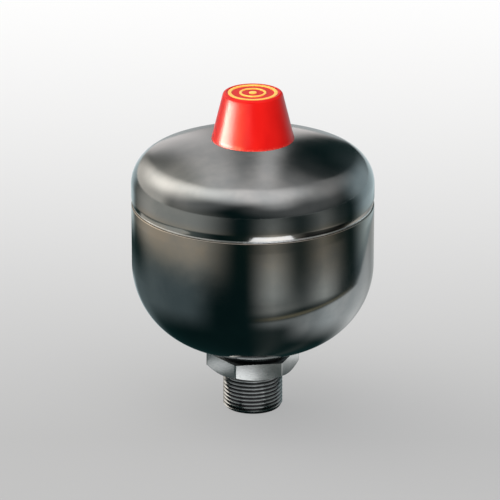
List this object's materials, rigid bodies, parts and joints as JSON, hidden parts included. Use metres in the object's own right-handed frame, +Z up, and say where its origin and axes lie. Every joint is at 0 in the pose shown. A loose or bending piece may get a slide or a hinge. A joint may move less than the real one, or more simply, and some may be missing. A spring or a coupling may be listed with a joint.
{
  "type": "diaphragm accumulator",
  "caption": "Welded steel pressure vessel with a capped gas valve on top and a hexagon port with a male stud below; a rubber diaphragm inside parts gas from oil.",
  "frame": {"origin": "centre of the flat end of the port stud, the lowest point of the part", "axes": "+Z up the vessel's axis towards the gas valve; -Y faces one flat of the port's hexagon"},
  "size_m": [0.121, 0.121, 0.1661],
  "materials": {
    "shell_steel": "satin black finish with a metallic sheen",
    "weld_steel": "weld bead under the body's finish, rubbed bright on its crown",
    "port_steel": "turned and plated, satin grey",
    "ring_steel": "turned, bare",
    "cap_plastic": "glossy red moulding",
    "diaphragm_rubber": "matt black nitrile rubber",
    "seal_rubber": "matt black nitrile rubber"
  },
  "bodies": {
    "vessel": {"lower_shell": "shell_steel", "upper_shell": "shell_steel", "girth_weld": "weld_steel", "fluid_port": "port_steel", "port_weld": "weld_steel", "gas_boss": "port_steel", "gas_boss_weld": "weld_steel", "charging_screw": "port_steel", "charging_screw_seal": "seal_rubber", "protective_cap": "cap_plastic", "clamp_ring": "ring_steel", "diaphragm": "diaphragm_rubber"},
    "button": {"closing_button": "ring_steel"}
  },
  "joints": [
    {"name": "button_lift", "type": "slide", "parent": "vessel", "child": "button", "axis": [0, 0, 1], "range_m": [0, 0.085], "stiffness_N_per_m": 20, "springref_m": -0.02, "deforming": ["diaphragm"]}
  ]
}
